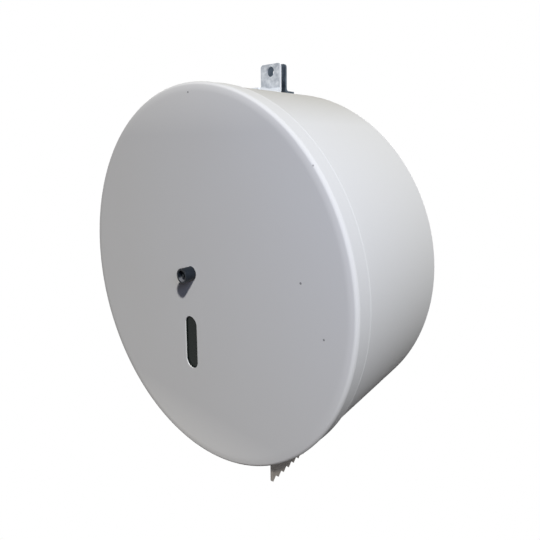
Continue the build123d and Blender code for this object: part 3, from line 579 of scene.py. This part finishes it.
drum = rod("drum", DRUM_RADIUS, DRUM_FRONT, 0.0, sides=ROUND_SIDES, caps="NOTHING")
apply(drum, "SOLIDIFY", thickness=DRUM_SHEET * MM, offset=-1, use_even_offset=True)
edit(drum)
bpy.ops.mesh.select_all(action="SELECT")
bpy.ops.mesh.bisect(plane_co=(0, (DRUM_FRONT + FOLD) * MM, 0), plane_no=(0, 1, 0))
inside = DRUM_RADIUS - DRUM_SHEET + 0.1
pick(drum, "FACE", lambda x, y, z: hypot(x, z) < inside and y < DRUM_FRONT + FOLD + 0.05)
bpy.ops.mesh.extrude_region_shrink_fatten(TRANSFORM_OT_shrink_fatten={"value": DRUM_SHEET * MM})
pick(drum, "EDGE", lambda x, y, z: near(y, DRUM_FRONT))
bpy.ops.mesh.bevel(offset=FOLD_ROUND * MM, segments=4, profile=0.5, affect="EDGES")
only()
print("drum wall with its fold:", len(drum.data.polygons), "faces")

# %% [markdown]
# The paper comes out through a window in the underside. It is cut last, with a box that starts
# behind the fold, so that the front edge stays whole, and reaches from the axis to below the drum.

# %% Paper outlet
OUTLET_HALF, OUTLET_FRONT, OUTLET_REAR, OUTLET_LOW = 70.0, -108.25, -13.5, -200.0


def block(name, low, high):
    """Box between two corners, in mm."""
    only()
    middle = [(a + b) / 2 * MM for a, b in zip(low, high)]
    size = [(b - a) * MM for a, b in zip(low, high)]
    bpy.ops.mesh.primitive_cube_add(size=1, location=middle, scale=size)
    box = bpy.context.object
    box.name = box.data.name = name
    bpy.ops.object.transform_apply(location=True, rotation=True, scale=True)
    return box


low, high = (-OUTLET_HALF, OUTLET_FRONT, OUTLET_LOW), (OUTLET_HALF, OUTLET_REAR, 0)
cut(drum, block("outlet", low, high))
soften(drum, 0.25)
stands_for(drum, "drum_wall", drum_coat)

# %% [markdown]
# ## The back
# The back is a shallow tray pressed from sheet, with four holes for the wall screws. It is made
# as the lid is, the other way round.

# %% Back tray with its wall-screw holes
BACK_RADIUS, BACK_RIM, BACK_SHEET, BACK_CORNER = 149.75, 12.0, 1.2, 3.0
SCREW_X, SCREW_Z, SCREW_HOLE = 80, 60, 3.25

back = rod("back", BACK_RADIUS, -BACK_RIM, 0.0, sides=ROUND_SIDES)
edit(back)
pick(back, "FACE", lambda x, y, z: near(y, -BACK_RIM))
bpy.ops.mesh.delete(type="FACE")
pick(back, "EDGE", lambda x, y, z: near(y, 0))
bpy.ops.mesh.bevel(offset=BACK_CORNER * MM, segments=6, profile=0.5, affect="EDGES")
apply(back, "SOLIDIFY", thickness=BACK_SHEET * MM, offset=-1, use_even_offset=True)
for x in (-SCREW_X, SCREW_X):
    for z in (-SCREW_Z, SCREW_Z):
        cut(back, rod("screw_punch", SCREW_HOLE, -4, 2, x, z, sides=32))
soften(back, 0.25)
stands_for(back, "back_plate", drum_coat)

# %% [markdown]
# ## The lug
# Two angles bent from 2 mm strip stand on top of the drum for a padlock. Each starts as an
# upright block. The lowest band of it is pulled out into a foot, the bend is rounded inside and
# outside, the top corners are rounded off, and the eye and the rivet holes are punched.

# %% Bending a lug angle
LUG_BASE, LUG_HEIGHT, LUG_SHEET, LUG_HALF = 151.0, 27.0, 2.0, 12.0
EYE_HEIGHT, EYE_RADIUS = 19.9, 4.75
LUG_RIVET_X, LUG_RIVET_INSET, LUG_RIVET_HOLE = 6.5, 5.0, 1.65
BEND_OUTSIDE, BEND_INSIDE, EAR_CORNER, FOOT_CORNER = 4.5, 2.5, 3.0, 1.5


def round_edges(piece, radius, segments, test):
    """Rounds the edges that pass a test, in mm."""
    pick(piece, "EDGE", test)
    bpy.ops.mesh.bevel(offset=radius * MM, segments=segments, profile=0.5, affect="EDGES")


def lug_angle(name, ear, foot, side):
    """An angle whose ear faces y = ear and whose foot runs from it; side -1 is forward."""
    behind, top, crease = ear - side * LUG_SHEET, LUG_BASE + LUG_HEIGHT, LUG_BASE + LUG_SHEET
    end = ear + side * foot
    low, high = sorted((ear, behind))
    angle = block(name, (-LUG_HALF, low, LUG_BASE), (LUG_HALF, high, top))
    edit(angle)
    bpy.ops.mesh.select_all(action="SELECT")
    bpy.ops.mesh.bisect(plane_co=(0, 0, crease * MM), plane_no=(0, 0, 1))
    pick(angle, "FACE", lambda x, y, z: near(y, ear) and z < crease + 0.02)
    bpy.ops.mesh.extrude_region_move(TRANSFORM_OT_translate={"value": (0, side * foot * MM, 0)})
    round_edges(angle, BEND_OUTSIDE, 8, lambda x, y, z: near(y, behind) and near(z, LUG_BASE))
    round_edges(angle, BEND_INSIDE, 6, lambda x, y, z: near(y, ear) and near(z, crease))
    for corner in (-LUG_HALF, LUG_HALF):
        round_edges(angle, EAR_CORNER, 8, lambda x, y, z: near(x, corner) and near(z, top))
        round_edges(angle, FOOT_CORNER, 4, lambda x, y, z: near(x, corner) and near(y, end))
    cut(angle, rod("eye", EYE_RADIUS, low - 1, high + 1, z=LUG_BASE + EYE_HEIGHT, sides=48))
    return angle


def lug_rivet_holes(angle, y):
    """Two holes through a foot, for its rivets."""
    for x in (-LUG_RIVET_X, LUG_RIVET_X):
        punch = rod("rivet_punch", LUG_RIVET_HOLE, -LUG_SHEET, LUG_SHEET, sides=24)
        punch.rotation_euler.x = radians(90)
        punch.location = (x * MM, y * MM, LUG_BASE * MM)
        bpy.context.view_layer.update()
        cut(angle, punch)


print("lug:", 2 * LUG_HALF, "mm wide and", LUG_HEIGHT, "mm high, eye of", 2 * EYE_RADIUS, "mm")

# %% [markdown]
# The two ears stand 6 mm apart. The front angle's foot runs forward and the rear one's runs back,
# so that neither is in the padlock's way, and each is riveted near its end.

# %% Front and rear angle
for name, ear, foot, side, finish in (
    ("lug_front", -24.0, 29.0, -1, zinc),
    ("lug_rear", -14.0, 12.0, 1, shaded_zinc),
):
    angle = lug_angle(name, ear, foot, side)
    lug_rivet_holes(angle, ear + side * (foot - LUG_RIVET_INSET))
    soften(angle, 0.35, segments=3)
    stands_for(angle, name + "_ear", finish)

# %% [markdown]
# ## The tear blades
# Each blade is a strip of galvanised steel with punched teeth, hung from a flange that follows
# the inside of the drum. A grid gives the leaf, and every second vertex of its lower edge is
# lifted to make the teeth. The strip is sheared to length through a tooth, so its front edge is
# pulled forward by that tooth's part, and its lowest point is lifted to lie on the tooth's slope.
# The upper edge is pulled out step by step along the drum's curve.

# %% Bending a tear blade
BLADE_X, FIRST_TIP, BLADE_TIP, BLADE_SHEET = 69.0, -105.25, -158.6, 1.0
TOOTH_PITCH, TOOTH_DEPTH, TEETH, LEAD = 6.5, 3.2, 14, 2.25
FLANGE_RADIUS, FLANGE_END, FLANGE_STEPS, BLADE_BEND = 149.25, 86.5, 6, 1.2


def tear_blade(name, side):
    """A blade at the right of the outlet, or at its left where side is -1."""
    length, top = TOOTH_PITCH * TEETH, -sqrt(FLANGE_RADIUS**2 - BLADE_X**2)
    only()
    bpy.ops.mesh.primitive_grid_add(
        x_subdivisions=2 * TEETH,
        y_subdivisions=1,
        size=1,
        location=(side * BLADE_X * MM, (FIRST_TIP + length / 2) * MM, (top + BLADE_TIP) / 2 * MM),
        rotation=(radians(90), 0, radians(90)),
    )
    bpy.ops.transform.resize(value=(1, length * MM, (top - BLADE_TIP) * MM))
    blade = bpy.context.object
    blade.name = blade.data.name = name
    bpy.ops.object.transform_apply(location=True, rotation=True, scale=True)
    edit(blade)
    half = TOOTH_PITCH / 2
    pick(blade, "VERT", lambda x, y, z: near(z, BLADE_TIP) and round((y - FIRST_TIP) / half) % 2)
    bpy.ops.transform.translate(value=(0, 0, TOOTH_DEPTH * MM))
    pick(blade, "EDGE", lambda x, y, z: near(y, FIRST_TIP))
    bpy.ops.mesh.extrude_region_move(TRANSFORM_OT_translate={"value": (0, -LEAD * MM, 0)})
    pick(blade, "VERT", lambda x, y, z: near(y, FIRST_TIP - LEAD) and near(z, BLADE_TIP))
    bpy.ops.transform.translate(value=(0, 0, TOOTH_DEPTH * LEAD / half * MM))
    pick(blade, "EDGE", lambda x, y, z: near(z, top))
    start, end = asin(BLADE_X / FLANGE_RADIUS), asin(FLANGE_END / FLANGE_RADIUS)
    turn = (end - start) / FLANGE_STEPS
    for i in range(FLANGE_STEPS):
        a, b = start + i * turn, start + (i + 1) * turn
        move = [side * (sin(b) - sin(a)), 0, cos(a) - cos(b)]
        value = [part * FLANGE_RADIUS * MM for part in move]
        bpy.ops.mesh.extrude_region_move(TRANSFORM_OT_translate={"value": value})
    round_edges(blade, BLADE_BEND, 4, lambda x, y, z: near(z, top) and near(abs(x), BLADE_X))
    bpy.ops.mesh.select_all(action="SELECT")
    bpy.ops.mesh.normals_make_consistent(inside=False)
    apply(blade, "SOLIDIFY", thickness=BLADE_SHEET * MM, offset=0, use_even_offset=True)
    return blade


for name, side in (("right", 1), ("left", -1)):
    blade = tear_blade("blade_" + name, side)
    soften(blade, 0.12)
    stands_for(blade, "tear_blade_" + name, shaded_blade_steel)

# %% [markdown]
# ## The knob
# The knob of the lock is a slightly flared moulding with a round recess for its key and a pin in
# the middle of the recess. The tip face is shrunk to a ring and pushed in for the recess, then
# shrunk and pulled out again for the pin. The shaft behind, with the groove for its clip and the
# neck for the cam, is pulled out of the rear face the same way.

# %% Knob, recess and shaft
KNOB_BASE, KNOB_TIP, KNOB_RADIUS, KNOB_TIP_RADIUS = -124.9, -134.1, 5.8, 6.1
RECESS_RADIUS, RECESS_DEPTH, PIN_RADIUS, PIN_LENGTH = 4.5, 4.0, 1.2, 2.5
SHAFT = ((3.5, 10.3), (2.8, 0.7), (3.5, 4.1), (2.5, 2.5), (2.0, 5.0))


def ring(piece, level, radius, new_radius, move):
    """Pulls the round face at a level into a ring of a new radius and moves that along Y."""
    pick(piece, "FACE", lambda x, y, z: near(y, level) and hypot(x, z) < radius + 0.1)
    bpy.ops.mesh.extrude_region_move()
    scale = new_radius / radius
    bpy.ops.transform.resize(value=(scale, 1, scale), center_override=(0, level * MM, 0))
    bpy.ops.mesh.extrude_region_move(TRANSFORM_OT_translate={"value": (0, move * MM, 0)})
    return level + move


knob = rod("knob", KNOB_RADIUS, KNOB_TIP, KNOB_BASE, sides=64, tip=KNOB_TIP_RADIUS)
edit(knob)
level = ring(knob, KNOB_TIP, KNOB_TIP_RADIUS, RECESS_RADIUS, RECESS_DEPTH)
ring(knob, level, RECESS_RADIUS, PIN_RADIUS, -PIN_LENGTH)
level, radius = KNOB_BASE, KNOB_RADIUS
for new_radius, length in SHAFT:
    level = ring(knob, level, radius, new_radius, length)
    radius = new_radius
bpy.ops.mesh.select_all(action="SELECT")
bpy.ops.mesh.normals_make_consistent(inside=False)
soften(knob, 0.35, segments=3)
stands_for(knob, "lock_spindle", slate_nylon)

# %% [markdown]
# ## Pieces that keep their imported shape
# The smaller and inner pieces already have the right shape. A copy of each is merged, its flat
# triangles are dissolved into whole faces, and its edges are broken, so that light catches them.

# %% Eased copies
def eased(node, name, width):
    """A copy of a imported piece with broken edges."""
    only(frame["nodes"][node])
    bpy.ops.object.duplicate()
    piece = bpy.context.object
    piece.parent = None
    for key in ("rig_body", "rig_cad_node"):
        del piece[key]
    piece.name = piece.data.name = name
    edit(piece)
    bpy.ops.mesh.select_all(action="SELECT")
    bpy.ops.mesh.remove_doubles(threshold=0.002 * MM)
    bpy.ops.mesh.dissolve_limited(angle_limit=radians(0.5))
    soften(piece, width, smooth=35)
    return piece


for node, name, width in (
    ("lock_bush", "bush", 0.25),
    ("hinge_leaf_lid", "hinge_lid", 0.2),
    ("hinge_leaf_drum", "hinge_drum", 0.2),
    ("core_hub", "hub", 0.4),
    ("keeper_cap", "keeper", 0.4),
    ("axle_foot", "foot", 0.4),
    ("lock_cam", "cam", 0.25),
    ("window_pane", "pane", 0.3),
):
    stands_for(eased(node, name, width), node, FINISHES[slots[node]])

# %% [markdown]
# ## What is looked at, and what only carries light
# A pale background should look white without lighting the object from all sides. So the floor
# and the world ask what kind of ray meets them. Rays from the camera, off gloss and through glass
# see the background as it is, and all others only carry light.

# %% What the camera, gloss and glass see
def seen_directly(tree):
    """1 for rays from the camera, off gloss and through glass, and 0 for all others."""
    path = add(tree, "ShaderNodeLightPath").outputs
    seen = path["Is Camera Ray"]
    for ray in ("Is Glossy Ray", "Is Transmission Ray"):
        seen = add(tree, "ShaderNodeMath", {0: seen, 1: path[ray]}, operation="MAXIMUM").outputs[0]
    return seen


print("rays that see the background as it is: from the camera, off gloss, through glass")

# %% [markdown]
# ## Floor
# The dispenser hangs on a wall, so the floor starts at the foot of that wall, a good way below.
# It is a pale floor that keeps the object's shadow. Where it is looked at, a glow lifts its lit
# part to white. For rays that only carry light it is a dark warm brown, as the lower part of a
# room is, so that little light comes back to the object's underside.

# %% Pale floor
FLOOR_LEVEL, FLOOR_SIDE = -1.1, 2.2
FLOOR_SEEN, FLOOR_UNSEEN, FLOOR_LIFT = "#DCDAD6", "#54483D", 0.5

only()
bpy.ops.mesh.primitive_plane_add(size=FLOOR_SIDE, location=(0, -FLOOR_SIDE / 2, FLOOR_LEVEL))
floor = bpy.context.object
floor.name = "floor"
floor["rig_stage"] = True
pale_floor = bpy.data.materials.new("pale_floor")
pale_floor.use_nodes = True
tree = pale_floor.node_tree
tree.nodes.clear()
seen = seen_directly(tree)
colour = {0: seen, 6: paint(FLOOR_UNSEEN), 7: paint(FLOOR_SEEN)}
colour = add(tree, "ShaderNodeMix", colour, data_type="RGBA")
lit = add(tree, "ShaderNodeBsdfDiffuse", {"Color": colour.outputs[2]})
lift = add(tree, "ShaderNodeMath", {0: seen, 1: FLOOR_LIFT}, operation="MULTIPLY")
glow = add(tree, "ShaderNodeEmission", {"Color": paint("#FFFFFF"), "Strength": lift.outputs[0]})
both = add(tree, "ShaderNodeAddShader", {0: lit.outputs[0], 1: glow.outputs[0]})
add(tree, "ShaderNodeOutputMaterial", {"Surface": both.outputs[0]})
floor.data.materials.append(pale_floor)
print("floor:", FLOOR_SIDE, "m square, at", FLOOR_LEVEL, "m")

# %% [markdown]
# ## Light
# The world is white where it is looked at. To the object it gives only a weak light, warm from
# below and a little stronger and cooler from above, so that shadows keep their depth.

# %% World
HORIZON, WORLD_LOW, WORLD_HIGH = 0.3, 0.01, 0.03

world = bpy.data.worlds.new("studio")
bpy.context.scene.world = world
world.use_nodes = True
tree = world.node_tree
tree.nodes.clear()
direction = add(tree, "ShaderNodeTexCoord").outputs["Generated"]
rise = add(tree, "ShaderNodeSeparateXYZ", {0: direction}).outputs["Z"]
height = {"Value": rise, "From Min": -HORIZON, "From Max": HORIZON}
height = add(tree, "ShaderNodeMapRange", height)
seen = seen_directly(tree)
weak = {"Value": height.outputs[0], "To Min": WORLD_LOW, "To Max": WORLD_HIGH}
weak = add(tree, "ShaderNodeMapRange", weak)
tint = {0: height.outputs[0], 6: paint("#D9C2A4"), 7: paint("#EEF3FF")}
tint = add(tree, "ShaderNodeMix", tint, data_type="RGBA")
strength = {0: seen, 2: weak.outputs[0], 3: 1.0}
strength = add(tree, "ShaderNodeMix", strength, data_type="FLOAT")
colour = {0: seen, 6: tint.outputs[2], 7: paint("#FFFFFF")}
colour = add(tree, "ShaderNodeMix", colour, data_type="RGBA")
sky = {"Color": colour.outputs[2], "Strength": strength.outputs[0]}
sky = add(tree, "ShaderNodeBackground", sky)
add(tree, "ShaderNodeOutputWorld", {"Surface": sky.outputs[0]})
print("world light, from below and from above:", WORLD_LOW, WORLD_HIGH)

# %% [markdown]
# The main light is a sun lamp from high at the right and a little in front. It grazes the lid and
# is narrow enough for crisp shadows. A small soft lamp beside the camera fills the near side, and
# a large soft one behind at the left keeps the far side readable.

# %% Lamps
def lamp(name, kind, energy, colour, spot, target, **settings):
    """A lamp at a spot in metres, aimed at a target."""
    data = bpy.data.lights.new(name, kind)
    data.energy = energy
    data.color = paint(colour)[:3]
    for key, value in settings.items():
        setattr(data, key, value)
    light = bpy.data.objects.new(name, data)
    bpy.context.scene.collection.objects.link(light)
    light.location = spot
    aim = Vector(target) - Vector(spot)
    light.rotation_euler = aim.to_track_quat("-Z", "Y").to_euler()
    return light


SUN_SPREAD = 3

middle = (0, -0.06, 0)
high_right = (1.1, -0.84, 1.4)
lamp("main_light", "SUN", 2.92, "#FFFDF8", high_right, middle, angle=radians(SUN_SPREAD))
lamp("near_fill", "AREA", 0.42, "#CCDAFF", (0.37, -0.32, 0.2), middle, size=0.2)
lamp("far_fill", "AREA", 2.0, "#FFFFFF", (-1.1, 1.1, 0.5), middle, size=1.2)
print("lamps:", [light.name for light in bpy.data.lights])

# %% [markdown]
# ## Camera
# The camera stands at the right of the dispenser and a little above its middle, as close as an
# arm's length. Its tilt is real, so the uprights fall together slightly, and the shift puts the
# object where the picture has it.

# %% Camera
FRAME_PX = 540
EYE_POINT = (0.27125, -0.33750, 0.10542)
TILT, ROLL, PAN = 83.518, 0.549, 40.763
LENS, SENSOR, SHIFT_X, SHIFT_Y = 28.63, 36.0, -0.003, -0.1472

camera = bpy.data.objects.new("camera", bpy.data.cameras.new("camera"))
bpy.context.scene.collection.objects.link(camera)
camera.location = EYE_POINT
camera.rotation_euler = (radians(TILT), radians(ROLL), radians(PAN))
camera.data.sensor_width = SENSOR
camera.data.lens = LENS
camera.data.shift_x = SHIFT_X
camera.data.shift_y = SHIFT_Y
camera.data.clip_start = 0.01
bpy.context.scene.camera = camera
bpy.context.scene.view_settings.view_transform = "Standard"
print("focal length in pixels:", round(LENS / SENSOR * FRAME_PX, 1))

# %% [markdown]
# ## Sizes
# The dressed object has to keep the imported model's size, so both boxes are written down.

# %% Boxes, and the end
sizes = {"cad": cad_box, "visual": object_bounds()}
sizes = {key: [list(corner) for corner in box] for key, box in sizes.items()}
print("boxes:", sizes)
